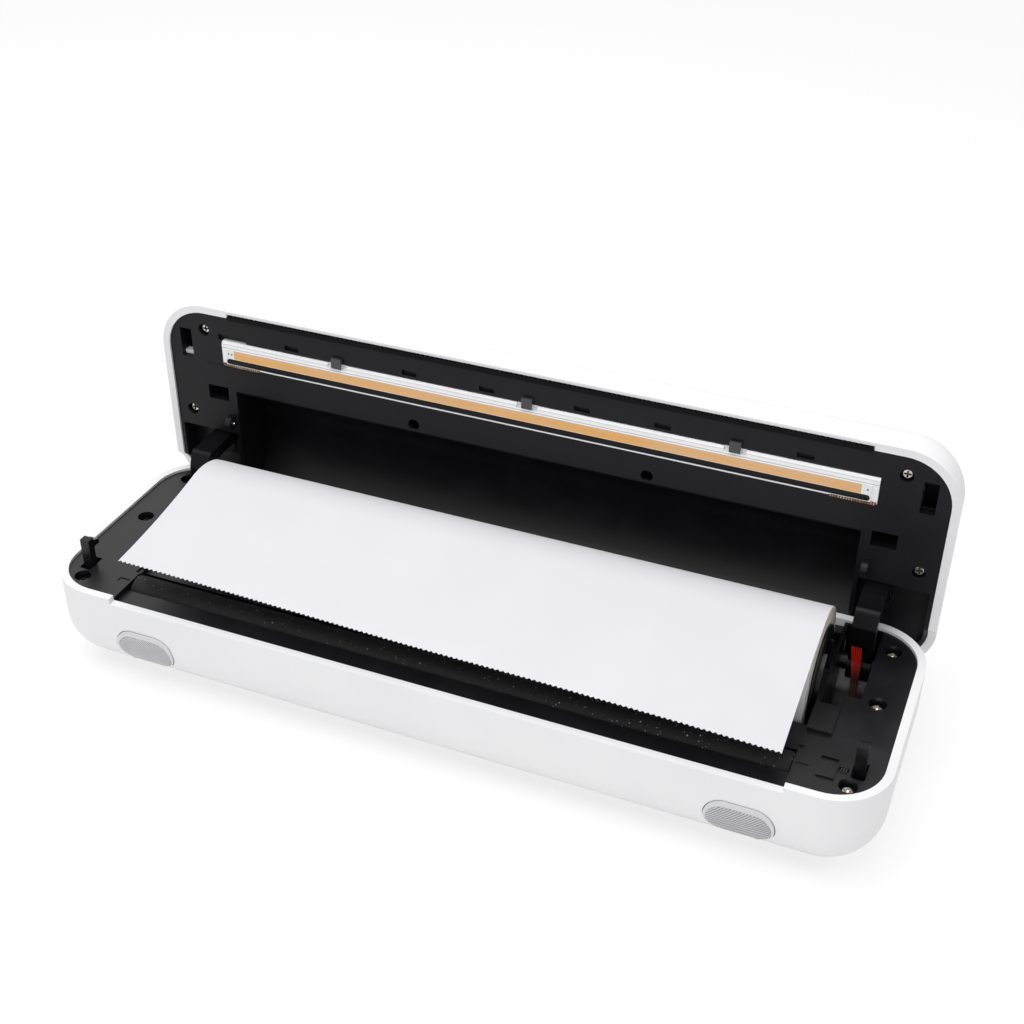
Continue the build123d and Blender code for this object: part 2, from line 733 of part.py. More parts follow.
def main_board():
    rear = bay_front(board_top) - board_gap
    return block(-half_length + 7.2, -14, hook_front - 0.9, rear, board_top - board_thickness, board_top)


def board_components():
    y0 = hook_front + 3.0
    group = None
    for x, long, wide, tall in chips:
        chip = block(x, x + long, y0, y0 + wide, board_top, board_top + tall)
        group = chip if group is None else group + chip
    return group


def usb_socket():
    body = extrude(Plane.YZ * SlotOverall(*usb_body), amount=7.3, dir=(1, 0, 0))
    mouth = extrude(Plane.YZ * SlotOverall(*usb_mouth), amount=6.2, dir=(1, 0, 0))
    tongue = block(0.8, 6.3, -3.2, 3.2, -0.35, 0.35)
    return Pos(-half_length + 1.1, usb_y, usb_z) * (body - mouth + tongue)


def battery_pack():
    under = floor + 0.2
    front = base_edge_radius - wall - inner_half_depth
    top = under + battery_height
    pack = block(*battery_x, front, bay_front(top) - battery_gap, under, top)
    return fillet(pack.edges().filter_by(Axis.X), 1.5)


def paper_sensor():
    body = block(*sensor_x, *sensor_y, mid_under, mid_top + 0.05)
    x0, x1 = sensor_x
    window = block(x0 + 2.5, x1 - 2.5, sensor_y[0] + 0.8, sensor_y[0] + 2.0, mid_top - 0.4, mid_top + 1)
    return body - window


def wire_bundle():
    """Wires for the print head: along the floor and up to the right-hand hinge arm, which leads them on."""
    top = pivot_z + 10.4
    route = [
        (roll_y - 16, floor + 2.2), (roll_y - 4, floor + 2.8), (roll_y + 4, floor + 11),
        (pivot_y - 9.4, pivot_z - 0.3), (pivot_y - 6.2, pivot_z + 5.6), (pivot_y - 5.2, top),
    ]
    group = None
    for number in range(5):
        end_x = arm_inner + wire_inset + (number - 2) * wire_pitch
        points = [(end_x + wire_lean * (top - z), y, z) for y, z in route]
        path = FilletPolyline(*points, radius=3.0)
        section = Plane(origin=path @ 0, z_dir=path % 0) * Circle(wire_radius)
        wire = sweep(section, path=path)
        group = wire if group is None else group + wire
    return group


# ---------------------------------------------------------------- lid, drawn shut
def lid_relief(x_end):
    """What the base's rear edge needs of the lid while it swings."""
    return rod_x(-x_end, x_end, pivot_y, pivot_z, swing_radius)


def lid_shell():
    outside = lid_form(0, 0)
    shell = outside - lid_form(-wall, -lid_skin)
    posts = at_corners(lid_screws, lambda x, y: rod_z(x, y, lid_boss_top, lid_height, post_radius)) & outside
    posts -= at_corners(lid_screws, lambda x, y: rod_z(x, y, lid_boss_top, ceiling - 6, lid_screw_radius))
    foot_front, foot_rear = arm_foot
    seat = block(arm_inner + 0.4, arm_outer - 0.4, foot_front + 0.3, foot_rear - 0.3, arm_root_z, lid_height)
    shell += posts + (sides(lambda: seat) & outside)
    shell -= at_corners([arm_screw], lambda x, y: rod_z(x, y, arm_root_z, ceiling - 5, screw_radius))
    tear = paper_half + lip_overhang
    shell -= block(-tear, tear, -half_depth + 1.1, -inner_half_depth + 0.5, -1, 0.9)
    shell -= lid_relief(half_length + 1)
    return shell - block(-half_length, half_length, -half_depth, half_depth, -1, seam)


recess_front = pivot_y - 24.25
recess_depth = 8.2
recess_wall = 1.2
arm_root_y = recess_front + arm_thickness / 2 + 0.5
arm_root_z = 7.0
arm_foot = (arm_root_y - arm_thickness / 2, arm_root_y + 8.0)
arm_screw = ((arm_inner + arm_outer) / 2, arm_root_y + 5.2)


def lid_plate():
    outline = plan(-wall - fit_gap)
    plate = plate_z(outline, lid_plate_under, lid_plate_top)
    # the recess over the hinge arms
    recess = block(bay_end + 0.2, half_length, recess_front, half_depth, -1, recess_depth)
    plate -= sides(lambda: recess)
    wall_front = recess_front - recess_wall
    roof = block(bay_end, half_length, wall_front, half_depth, recess_depth, recess_depth + recess_wall)
    back_wall = block(bay_end, half_length, wall_front, recess_front, lid_plate_under, recess_depth)
    lining = plate_z(outline, lid_plate_under, recess_depth) - plate_z(
        plan(-wall - fit_gap - recess_wall), lid_plate_under, recess_depth
    )
    lining &= block(bay_end, half_length, wall_front, half_depth, lid_plate_under, recess_depth)
    shell_room = lid_form(-wall - fit_gap, -lid_skin - fit_gap)
    slot_front_y = hook_front - 4.0
    slot_rear_y = hook_rear + 6.4
    slot_x0, slot_x1 = latch_slot_x
    front_y = slot_front_y - pocket_wall
    roof_top = housing_roof + pocket_wall
    housing = block(slot_x0, slot_x1 + pocket_wall, front_y, slot_rear_y, lid_plate_top, roof_top)
    housing -= block(slot_x0 - 1, slot_x1, slot_front_y, slot_rear_y + 1, lid_plate_top - 1, housing_roof)
    plate += sides(lambda: (roof + back_wall + lining + housing) & shell_room)
    (window_x0, window_x1), (window_y0, window_y1) = lid_window_x, lid_window_y
    window_box = block(
        window_x0 - pocket_wall, window_x1 + pocket_wall, window_y0 - pocket_wall, window_y1 + pocket_wall,
        lid_plate_top, lid_plate_top + window_depth + pocket_wall,
    )
    plate += sides(lambda: window_box)
    plate += sides(lambda: rod_x(*boss_x, boss_y, boss_z, guide_boss_radius))
    plate -= rod_x(-bay_end, bay_end, roll_y, roll_z, channel_radius + moulding)
    plate -= lid_relief(half_length)
    plate -= block(-half_length, half_length, pivot_y, half_depth, -1, lid_plate_top + 1)
    plate += at_corners(lid_screws, lambda x, y: rod_z(x, y, lid_plate_top, lid_boss_top, post_radius))
    # openings
    reach = head_half + head_gap
    plate -= block(-reach, reach, head_front - head_gap, head_rear + head_gap, -1, lid_plate_top + 1)
    slot = block(*latch_slot_x, slot_front_y, hook_rear + 4.0, -1, lid_plate_top + 1)
    plate -= sides(lambda: slot)
    plate -= sides(lambda: block(*lid_window_x, *lid_window_y, -1, lid_plate_top + window_depth))
    for x in snap_places:
        plate -= block(x - 2.6, x + 2.6, head_front - 3.0, head_front - 1.2, -1, lid_plate_top - 0.8)
    plate -= block(*left_slot_x, head_front - left_slot_depth, head_front, -1, lid_plate_top - 0.8)
    ridge_y = head_rear + left_ridge_setback
    plate += block(*left_ridge_x, ridge_y, ridge_y + 0.25, lid_plate_under - 0.2, lid_plate_under + 0.2)
    hole_y = roll_y - channel_radius - 2.7
    plate -= sides(lambda: rod_z(stop_hole_x, hole_y, -1, lid_plate_top + 1, stop_hole_radius))
    plate -= at_corners(lid_screws, lambda x, y: rod_z(x, y, -1, lid_screw_seat, lid_counterbore))
    plate -= at_corners(lid_screws, lambda x, y: rod_z(x, y, -1, lid_boss_top, lid_screw_radius))
    arm_path = block(arm_inner - 0.3, arm_outer + 0.3, recess_front, arm_foot[1] + 0.3, -1, recess_depth + 2)
    return plate - sides(lambda: arm_path)


def roll_cover():
    """The channel over the roll, let into the lid plate."""
    arch = rod_x(-bay_end, bay_end, roll_y, roll_z, channel_radius + moulding)
    arch &= block(-bay_end, bay_end, -half_depth, inner_half_depth - fit_gap, lid_plate_under, lid_height)
    arch -= rod_x(-mid_half, mid_half, roll_y, roll_z, channel_radius)
    mouth = arch.edges().filter_by(Axis.X).group_by(Axis.Z)[0].sort_by(Axis.Y)
    inner = [edge for edge in mouth if abs(edge.length - 2 * mid_half) < 0.01][0]
    arch = fillet(inner, moulding - 0.4)
    return arch - lid_relief(half_length)


def lid_screw_set():
    head_top = lid_screw_seat - lid_head_height
    tip = ceiling - 6

    def screw_up(x, y):
        head = rod_z(x, y, head_top, lid_screw_seat, lid_head_radius)
        head = fillet(head.edges().sort_by(Axis.Z)[0], 0.4)
        recess = Rot(180, 0, 0) * cross_recess(0, 0, 0)
        shank = rod_z(x, y, lid_screw_seat, tip, lid_screw_radius)
        return head + shank - Pos(x, y, head_top) * recess

    return at_corners(lid_screws, screw_up)


def tear_bar():
    """Toothed bar on the lid's front rim. Its teeth point the way the paper comes out."""
    half = paper_half + 2.1
    pitch = 2 * half / tear_teeth
    tip = -half_depth + 1.15
    root = tip + tear_tooth
    outline = [(-half, -inner_half_depth + 0.4)]
    for number in range(tear_teeth):
        outline += [(-half + pitch * number, root), (-half + pitch * (number + 0.5), tip)]
    outline += [(half, root), (half, -inner_half_depth + 0.4)]
    face = make_face(Polyline([Vector(x, y, -0.5) for x, y in outline], close=True))
    return extrude(face, amount=1.3, dir=(0, 0, 1))


def hinge_arm():
    """Swan-neck arm: from the hinge pin up through the deck and back into the lid, drawn shut."""
    path = [
        (pivot_y, pivot_z),
        (pivot_y - 10.8, pivot_z - 4.0),
        (pivot_y - 17.6, pivot_z - 4.4),
        (pivot_y - 21.4, pivot_z - 3.0),
        (arm_root_y + 0.5, pivot_z + 0.4),
        (arm_root_y, pivot_z + 4.0),
        (arm_root_y, arm_root_z - arm_thickness / 2),
    ]
    arm = strap(path, arm_thickness, arm_inner, arm_outer)
    arm += rod_x(arm_inner, arm_outer, pivot_y, pivot_z, hub_radius)
    foot = block(arm_inner, arm_outer, *arm_foot, arm_root_z - 2.6, arm_root_z)
    arm += foot
    arm -= rod_x(arm_inner, arm_outer, pivot_y, pivot_z, pin_radius + running)
    window_x = arm_inner + wire_inset
    arm -= block(
        window_x - arm_window_half, window_x + arm_window_half, *arm_window_y, pivot_z - 8.0, arm_window_floor
    )
    arm -= block(arm_inner, arm_outer, arm_root_y - 8, arm_root_y + 12, arm_root_z, arm_root_z + 5)
    x, y = arm_screw
    return arm - rod_z(x, y, -2, arm_root_z, screw_radius) - rod_z(x, y, -2, arm_root_z - 1.4, 2.2)


def arm_screw_set():
    def screw_up(x, y):
        head = rod_z(x, y, arm_root_z - 2.9, arm_root_z - 1.4, 2.1)
        return head + rod_z(x, y, arm_root_z - 1.4, ceiling - 5, screw_radius)

    return at_corners([arm_screw], screw_up)


def latch_strikes():
    strike = block(latch_inner - 0.6, latch_outer + 0.6, hook_rear + barb_reach + 0.1, hook_rear + 6.4,
                   lid_plate_top, barb_under - 0.3)
    return sides(lambda: strike)


# ---------------------------------------------------------------- print head, in the lid
def heatsink():
    bar = block(-head_half, head_half, head_front, head_rear, 0, heatsink_height)
    lower = bar.edges().filter_by(Axis.X).group_by(Axis.Z)[0]
    bar = chamfer(lower.sort_by(Axis.Y)[0], head_bevel)
    notch_half, notch_depth, notch_height = clip_notch
    for x in clip_places:
        bar -= block(x - notch_half, x + notch_half, head_front, head_front + notch_depth, 0, notch_height)
    return bar


def ceramic_board():
    return block(-ceramic_half, ceramic_half, ceramic_front, ceramic_rear, head_face, 0)


def heater_glaze():
    rear = glaze_y + glaze_half
    front = glaze_y - glaze_half
    return block(-glaze_reach, glaze_reach, front, rear, head_face - glaze_thickness, head_face)


def driver_strip():
    """A low dome of resin over the driver chips."""
    radius = (driver_half**2 + driver_height**2) / (2 * driver_height)
    middle = head_face - driver_height + radius
    strip = rod_x(-driver_reach, driver_reach, glaze_y + driver_setback, middle, radius)
    ends = Pos(0, glaze_y + driver_setback, 0) * SlotOverall(2 * driver_reach, 2 * driver_half)
    return strip & plate_z(ends, head_face - 1, head_face)


def head_contacts():
    """Strips of fine contacts along the rear edge, at both ends."""
    return sides(lambda: block(*contact_x, head_rear - contact_width, head_rear + 0.2, -0.35, 0))


def head_clips():
    """Three tongues on the lid plate that keep the head from falling out of the lid."""
    group = None
    for x in clip_places:
        tongue = block(x - clip_half, x + clip_half, head_front - 2.4, head_front + 1.2, -0.5, -0.05)
        root = block(x - clip_half, x + clip_half, head_front - 2.4, head_front - 0.4, -0.05, lid_plate_under)
        group = tongue + root if group is None else group + tongue + root
    return group


def head_springs():
    group = None
    for x in spring_places:
        y = (head_front + head_rear) / 2
        top = heatsink_height + spring_height
        outer, inner = (rod_z(x, y, heatsink_height, top, radius) for radius in spring_radii)
        coil = outer - inner
        group = coil if group is None else group + coil
    return group


def head_bracket():
    under = heatsink_height + spring_height
    strip = block(-head_half + 1, head_half - 1, head_front + 0.4, head_rear - 0.4, under, under + 1.2)
    for x in bracket_legs:
        leg = block(x - 3, x + 3, head_rear + 0.7, head_rear + 1.9, lid_plate_top, under + 1.2)
        foot = block(x - 3, x + 3, head_rear - 0.5, head_rear + 1.9, under, under + 1.2)
        strip += leg + foot
    return strip


# ---------------------------------------------------------------- the assembly
def swing_open(shape):
    """Turns what is drawn on the shut lid to where it stands when the lid is open."""
    return Pos(0, pivot_y, pivot_z) * Rot(-90, 0, 0) * Pos(0, -pivot_y, -pivot_z) * shape


base_pieces = {
    "base_shell": base_shell,
    "base_mat": base_mat,
    "chassis": chassis,
    "deck_screws": deck_screw_set,
    "hinge_pin_right": hinge_pin,
    "hinge_pin_left": lambda: mirrored(hinge_pin()),
    "platen_bush_right": platen_bush,
    "platen_bush_left": lambda: mirrored(platen_bush()),
    "gear_frame": gear_frame,
    "gear_cover": gear_cover,
    "idler_pin": idler_pin,
    "stepper_motor": stepper_motor,
    "motor_shaft": motor_shaft,
    "motor_pinion": motor_pinion,
    "idler_gear": idler_gear,
    "platen_gear": platen_gear,
    "platen_shaft": platen_shaft,
    "platen_core": platen_core,
    "platen_rubber": platen_rubber,
    "paper_roll": paper_roll,
    "roll_core": roll_core,
    "roll_cap_right": roll_cap,
    "roll_cap_left": lambda: mirrored(roll_cap()),
    "roll_holder_right": roll_holder,
    "roll_holder_left": lambda: mirrored(roll_holder()),
    "paper_web": paper_web,
    "paper_sensor": paper_sensor,
    "latch_lever_right": latch_lever,
    "latch_lever_left": lambda: mirrored(latch_lever()),
    "latch_spring_right": latch_spring,
    "latch_spring_left": lambda: mirrored(latch_spring()),
    "release_button_right": release_button,
    "release_button_left": lambda: mirrored(release_button()),
    "power_button": power_button,
    "tact_switch": tact_switch,
    "button_board": button_board,
    "light_pipe": light_pipe,
    "main_board": main_board,
    "board_components": board_components,
    "usb_socket": usb_socket,
    "battery_pack": battery_pack,
    "wire_bundle": wire_bundle,
}
lid_pieces = {
    "lid_shell": lid_shell,
    "lid_plate": lid_plate,
    "roll_cover": roll_cover,
    "lid_screws": lid_screw_set,
    "tear_bar": tear_bar,
    "hinge_arm_right": hinge_arm,
    "hinge_arm_left": lambda: mirrored(hinge_arm()),
    "arm_screws": arm_screw_set,
    "latch_strikes": latch_strikes,
    "heatsink": heatsink,
    "ceramic_board": ceramic_board,
    "heater_glaze": heater_glaze,
    "driver_strip": driver_strip,
    "head_contacts": head_contacts,
    "head_clips": head_clips,
    "head_springs": head_springs,
    "head_bracket": head_bracket,
}

os.makedirs("parts", exist_ok=True)
for name, make in base_pieces.items():
    export_step(Pos(0, 0, table) * make(), f"parts/{name}.step")
for name, make in lid_pieces.items():
    export_step(Pos(0, 0, table) * swing_open(make()), f"parts/{name}.step")
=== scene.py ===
"""Looks of the portable printer: camera, light, finishes and the pieces that the CAD draws plainly.

Lengths in this file are millimetres unless a name or a comment says otherwise."""
import json
from math import acos, atan2, cos, hypot, pi, radians, sin, sqrt

import bpy
from mathutils import Matrix, Vector


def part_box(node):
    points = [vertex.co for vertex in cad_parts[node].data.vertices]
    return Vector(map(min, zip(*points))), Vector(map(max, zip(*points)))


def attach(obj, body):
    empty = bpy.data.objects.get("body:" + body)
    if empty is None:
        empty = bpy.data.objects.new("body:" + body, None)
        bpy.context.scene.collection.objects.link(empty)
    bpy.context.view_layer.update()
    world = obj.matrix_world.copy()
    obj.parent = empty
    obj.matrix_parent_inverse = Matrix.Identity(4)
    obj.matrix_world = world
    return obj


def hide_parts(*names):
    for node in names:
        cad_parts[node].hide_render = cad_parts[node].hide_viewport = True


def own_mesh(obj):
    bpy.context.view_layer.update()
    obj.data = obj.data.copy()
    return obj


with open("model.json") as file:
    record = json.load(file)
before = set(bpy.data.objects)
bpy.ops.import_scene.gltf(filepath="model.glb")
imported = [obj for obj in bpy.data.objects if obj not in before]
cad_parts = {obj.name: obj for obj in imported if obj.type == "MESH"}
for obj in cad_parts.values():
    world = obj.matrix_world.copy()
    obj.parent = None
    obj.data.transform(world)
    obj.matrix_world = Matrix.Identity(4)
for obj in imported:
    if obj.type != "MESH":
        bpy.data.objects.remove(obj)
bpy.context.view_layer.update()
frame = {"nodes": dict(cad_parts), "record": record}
bpy.ops.object.select_all(action="DESELECT")
MM = 0.001


def mm(*values):
    return Vector([value * MM for value in values])


def box_mm(node):
    """A node's lowest and highest corners, in millimetres."""
    low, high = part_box(node)
    return Vector(low) / MM, Vector(high) / MM


# ---------------------------------------------------------------- camera and light
EYE = (152.23, -343.73, 318.33)
EYE_RIGHT = (0.924039, 0.382252, 0.005971)
EYE_DOWN = (0.216683, -0.510803, -0.831943)
EYE_AHEAD = (-0.314961, 0.770041, -0.554830)
SENSOR_WIDTH = 36.0
LENS = 53.3626
NEAREST_SEEN = 10.0


def place_camera():
    bpy.ops.object.camera_add()
    camera = bpy.context.object
    camera.name = "camera"
    turn = Matrix((Vector(EYE_RIGHT), -Vector(EYE_DOWN), -Vector(EYE_AHEAD))).transposed().to_4x4()
    camera.matrix_world = Matrix.Translation(mm(*EYE)) @ turn
    camera.data.sensor_width = SENSOR_WIDTH
    camera.data.lens = LENS
    camera.data.clip_start = NEAREST_SEEN * MM
    bpy.context.scene.camera = camera


def soft_lamp(name, place, aim, size, watts):
    """A white rectangular lamp. Places and sizes are metres."""
    bpy.ops.object.light_add(type="AREA", location=place)
    lamp = bpy.context.object
    lamp.name = name
    lamp.data.shape = "RECTANGLE"
    lamp.data.size, lamp.data.size_y = size
    lamp.data.energy = watts
    lamp.rotation_euler = (Vector(aim) - Vector(place)).to_track_quat("-Z", "Y").to_euler()


# ---------------------------------------------------------------- finishes
class Value:
    """A socket that takes part in sums, so that shader maths reads as maths."""

    def __init__(self, finish, socket):
        self.finish = finish
        self.socket = socket

    def maths(self, operation, *rest):
        return self.finish.node("ShaderNodeMath", {"operation": operation}, self, *rest)

    def __add__(self, other):
        return self.maths("ADD", other)

    __radd__ = __add__

    def __sub__(self, other):
        return self.maths("SUBTRACT", other)

    def __rsub__(self, other):
        return self.finish.node("ShaderNodeMath", {"operation": "SUBTRACT"}, other, self)

    def __mul__(self, other):
        return self.maths("MULTIPLY", other)

    __rmul__ = __mul__

    def __pow__(self, other):
        return self.maths("POWER", other)

    def clamp(self):
        return self.finish.node("ShaderNodeClamp", {}, self)

    def step(self, low, high):
        """0 below low, 1 above high, smooth between."""
        ramp = {"interpolation_type": "SMOOTHSTEP"}
        return self.finish.node("ShaderNodeMapRange", ramp, self, low, high, 0.0, 1.0)

    def absolute(self):
        return self.maths("ABSOLUTE")

    def at_least(self, low):
        return self.maths("MAXIMUM", low)


# sockets of the Mix node when it mixes colours
MIX_FACTOR, MIX_FIRST, MIX_SECOND, MIX_RESULT = 0, 6, 7, 2


class Finish:
    """One material. node() adds any node; the sockets it returns are Values."""

    def __init__(self, name, colour, roughness, metallic=0.0, **fixed):
        self.material = bpy.data.materials.new(name)
        self.material.use_nodes = True
        self.tree = self.material.node_tree
        self.shader = self.tree.nodes["Principled BSDF"]
        self.colour(colour)
        self.put("Roughness", roughness)
        self.put("Metallic", metallic)
        for socket, value in fixed.items():
            self.put(socket.replace("_", " "), value)

    def feed(self, socket, value):
        if isinstance(value, Value):
            self.tree.links.new(value.socket, socket)
            return
        if hasattr(value, "__len__") and len(value) == 3 and socket.type == "RGBA":
            value = (*value, 1.0)
        socket.default_value = value

    def put(self, name, value):
        self.feed(self.shader.inputs[name], value)

    def node(self, kind, settings, *values, out=0, **named):
        made = self.tree.nodes.new(kind)
        for key, setting in settings.items():
            setattr(made, key, setting)
        for socket, value in zip(made.inputs, values):
            self.feed(socket, value)
        for key, value in named.items():
            self.feed(made.inputs[key.replace("_", " ")], value)
        return Value(self, made.outputs[out])

    # what patterns read
    def place(self):
        """Object coordinates in millimetres."""
        at = self.node("ShaderNodeTexCoord", {}, out="Object")
        return self.node("ShaderNodeVectorMath", {"operation": "SCALE"}, at, Scale=1 / MM)

    def parts(self, axes):
        """The named object coordinates, in millimetres."""
        place = self.place()
        return [self.node("ShaderNodeSeparateXYZ", {}, place, out=axis) for axis in axes]

    def noise(self, pitch, detail=2.0, vector=None, stretch=(1, 1, 1), contrast=None):
        """Noise with features of about pitch millimetres."""
        per_mm = tuple(share / pitch for share in stretch)
        place = vector or self.place()
        scaled = self.node("ShaderNodeVectorMath", {"operation": "MULTIPLY"}, place, per_mm)
        value = self.node("ShaderNodeTexNoise", {}, scaled, Scale=1.0, Detail=detail)
        return value.step(*contrast) if contrast else value

    def specks(self, pitch, size):
        """Dots of dust, size times pitch in radius: 1 on a dot, 0 elsewhere, and soft at its edge."""
        per_pitch = 1.0 / pitch
        solid = size * 0.6
        scaled = self.node("ShaderNodeVectorMath", {"operation": "SCALE"}, self.place(), Scale=per_pitch)
        cells = self.node("ShaderNodeTexVoronoi", {"feature": "F1"}, scaled, Scale=1.0, Randomness=1.0)
        return 1.0 - cells.step(solid, size)

    def mix(self, factor, first, second):
        made = self.tree.nodes.new("ShaderNodeMix")
        made.data_type = "RGBA"
        self.feed(made.inputs[MIX_FACTOR], factor)
        self.feed(made.inputs[MIX_FIRST], first)
        self.feed(made.inputs[MIX_SECOND], second)
        return Value(self, made.outputs[MIX_RESULT])

    def colour(self, value):
        self.put("Base Color", value)

    def bump(self, height, depth):
        """Raises the surface by height times depth millimetres."""
        raised = self.node("ShaderNodeBump", {}, Strength=1.0, Distance=depth * MM, Height=height)
        self.put("Normal", raised)


# The base's inside, which is coloured as painted shade: how far it reaches from the middle, and
# between which heights. Each pair is the two sides of a soft edge.
INSIDE_HALF_LENGTH = (120.0, 122.0)
INSIDE_HALF_DEPTH = (34.0, 36.0)
INSIDE_FLOOR = (2.2, 2.6)
INSIDE_TOP = (29.0, 30.0)


def white_moulding():
    """White outside, with painted shade inside: the base's inside, which shows through the arms' slots,
    is nearly black.
    """
    f = Finish("white_moulding", (0.86, 0.86, 0.87), 0.42, Specular_IOR_Level=0.4)
    cloud = f.noise(38, 3.0, contrast=(0.35, 0.7))
    x, y, z = f.parts("XYZ")
    across = 1.0 - x.absolute().step(*INSIDE_HALF_LENGTH)
    along = 1.0 - y.absolute().step(*INSIDE_HALF_DEPTH)
    inside = across * along * z.step(*INSIDE_FLOOR) * (1.0 - z.step(*INSIDE_TOP))
    outer = f.mix(cloud, (0.838, 0.838, 0.852), (0.866, 0.866, 0.876))
    # painted shade: the inside is coloured nearly black where it lies in the dark below the deck
    f.colour(f.mix(inside, outer, (0.006, 0.006, 0.006)))
    f.put("Roughness", 0.38 + f.noise(9, 3.0) * 0.1)
    f.bump(f.noise(0.35, 3.0), 0.012)
    return f.material


DECK_FRONT = (-29.0, -24.0)


def black_plastic(name, tone, rough, gloss, grain=0.4, dusty_front=False):
    """Spark-eroded black plastic with worn patches and a little dust, and more dust along the front
    if dusty_front is set."""
    f = Finish(name, (tone, tone, tone), rough, Specular_IOR_Level=gloss)
    dust = f.specks(5.5, 0.028) * f.noise(24, 2.0, contrast=(0.5, 0.72))
    if dusty_front:
        (y,) = f.parts("Y")
        front = 1.0 - y.step(*DECK_FRONT)
        dust = dust + (f.specks(1.5, 0.07) + f.specks(2.3, 0.06)) * front
    worn = f.noise(14, 4.0, contrast=(0.42, 0.78))
    fresh = (tone * 0.85, tone * 0.85, tone * 1.1)
    rubbed = (tone * 1.5, tone * 1.5, tone * 1.95)
    base = f.mix(worn * 0.5, fresh, rubbed)
    f.colour(f.mix((dust * 0.35).clamp(), base, (0.16, 0.16, 0.165)))
    f.put("Roughness", rough - 0.05 + worn * 0.12)
    f.bump(f.noise(grain, 2.0), 0.02)
    return f.material


def platen_rubber():
    """Black rubber with lint, more of it toward the right-hand end."""
    f = Finish("platen_rubber", (0.012, 0.012, 0.012), 0.72, Specular_IOR_Level=0.3)
    (x,) = f.parts("X")
    lint = f.specks(3.2, 0.08) + f.specks(1.7, 0.09) + f.specks(1.1, 0.09) * 0.6
    amount = 0.5 + x.step(10.0, 95.0)
    f.colour(f.mix((lint * amount).clamp(), (0.010, 0.010, 0.0105), (0.6, 0.6, 0.59)))
    f.put("Roughness", 0.58 + f.noise(3, 3.0) * 0.2)
    f.bump(f.noise(0.5, 4.0, stretch=(0.3, 1, 1)), 0.03)
    return f.material


def mat_rubber():
    f = Finish("mat_rubber", (0.05, 0.05, 0.052), 0.8)
    f.colour(f.mix(f.noise(20, 4.0), (0.04, 0.04, 0.042), (0.07, 0.07, 0.072)))
    f.bump(f.noise(0.9, 1.0, contrast=(0.4, 0.6)), 0.08)
    return f.material


PAPER_DULL = (0.690, 0.685, 0.722)
PAPER_CLEAR = (0.712, 0.707, 0.742)


def plain_paper():
    f = Finish("thermal_paper", PAPER_CLEAR, 0.6, Specular_IOR_Level=0.3)
    f.colour(f.mix(f.noise(30, 2.0, contrast=(0.3, 0.7)), PAPER_DULL, PAPER_CLEAR))
    f.bump(f.noise(0.5, 4.0), 0.006)
    return f.material


def wound_paper():
    """Smooth on the outside, with the edges of the turns on the ends."""
    f = Finish("wound_paper", PAPER_CLEAR, 0.6, Specular_IOR_Level=0.3)
    x, y, z = f.parts("XYZ")
    radius = ((y - roll_y) ** 2.0 + (z - roll_z) ** 2.0) ** 0.5
    turn_rate, band_rate = 5.2, 2.2
    turns = (radius * turn_rate + f.noise(40, 2.0) * 1.5).maths("SINE")
    rings = f.node("ShaderNodeCombineXYZ", {}, radius * band_rate, 0.0, 0.0)
    bands = f.noise(1.0, 3.0, vector=rings)
    end = x.absolute().step(roll_half - 0.05, roll_half - 0.01)
    face = f.mix(f.noise(30, 2.0, contrast=(0.3, 0.7)), PAPER_DULL, PAPER_CLEAR)
    edge = f.mix((turns * 0.25 + bands * 0.75).clamp(), (0.50, 0.475, 0.40), (0.70, 0.675, 0.60))
    f.colour(f.mix(end, face, edge))
    f.put("Roughness", 0.6 + end * 0.3)
    f.bump(turns * end * 0.6 + f.noise(0.5, 4.0) * 0.4, 0.03)
    return f.material


def grey_board():
    f = Finish("grey_board", (0.3, 0.22, 0.14), 0.85)
    f.colour(f.mix(f.noise(1.5, 5.0), (0.24, 0.17, 0.1), (0.38, 0.3, 0.2)))
    f.bump(f.noise(0.7, 4.0), 0.05)
    return f.material


def metal(name, tone, rough, grain=(1, 1, 1)):
    f = Finish(name, (tone, tone, tone), rough, metallic=1.0)
    brushed = f.noise(0.35, 4.0, stretch=grain)
    bright = (tone,) * 3
    dull = (0.72 * tone,) * 3
    f.colour(f.mix(f.noise(3.0, 3.0, contrast=(0.45, 0.75)) * 0.6, bright, dull))
    f.put("Roughness", rough + brushed * 0.14)
    f.bump(brushed, 0.01)
    return f.material


def plastic(name, colour, rough, gloss=0.5):
    """Smooth plastic with slight clouds in its colour and its gloss."""
    cloud_pitch, gloss_pitch = 6.0, 3.6
    spread = 0.12
    f = Finish(name, colour, rough, Specular_IOR_Level=gloss)
    low = tuple(part * (1 - spread) for part in colour)
    high = tuple(min(1.0, part * (1 + spread)) for part in colour)
    f.colour(f.mix(f.noise(cloud_pitch, 3.0), low, high))
    f.put("Roughness", rough - 0.04 + f.noise(gloss_pitch, 3.0) * 0.1)
    f.bump(f.noise(0.5, 3.0), 0.015)
    return f.material


def screw_steel():
    """Bright on the right, where the heads face the light, with painted shade, nearly black, on the
    left-hand deck and down the lid screws' recesses."""
    f = Finish("screw_steel", (0.7, 0.66, 0.6), 0.26, metallic=1.0)
    x, y = f.parts("XY")
    face = box_mm("lid_screws")[0].y
    deck_rear = (38.0, 39.0)
    # painted shade: the left-hand deck screws and the lid screws' recesses are coloured nearly black
    left_deck_shade = (x * -1.0).step(60.0, 90.0) * (1.0 - y.step(*deck_rear))
    recess_shade = y.step(face + 0.12, face + 0.4)
    shade = (left_deck_shade + recess_shade).clamp()
    spots = f.noise(1.2, 3.0, contrast=(0.4, 0.7))
    bright = f.mix(spots * 0.5, (0.78, 0.74, 0.68), (0.5, 0.46, 0.4))
    f.colour(f.mix(shade * 0.9, bright, (0.03, 0.03, 0.03)))
    f.put("Roughness", 0.2 + spots * 0.2)
    f.bump(f.noise(0.3, 3.0), 0.01)
    return f.material


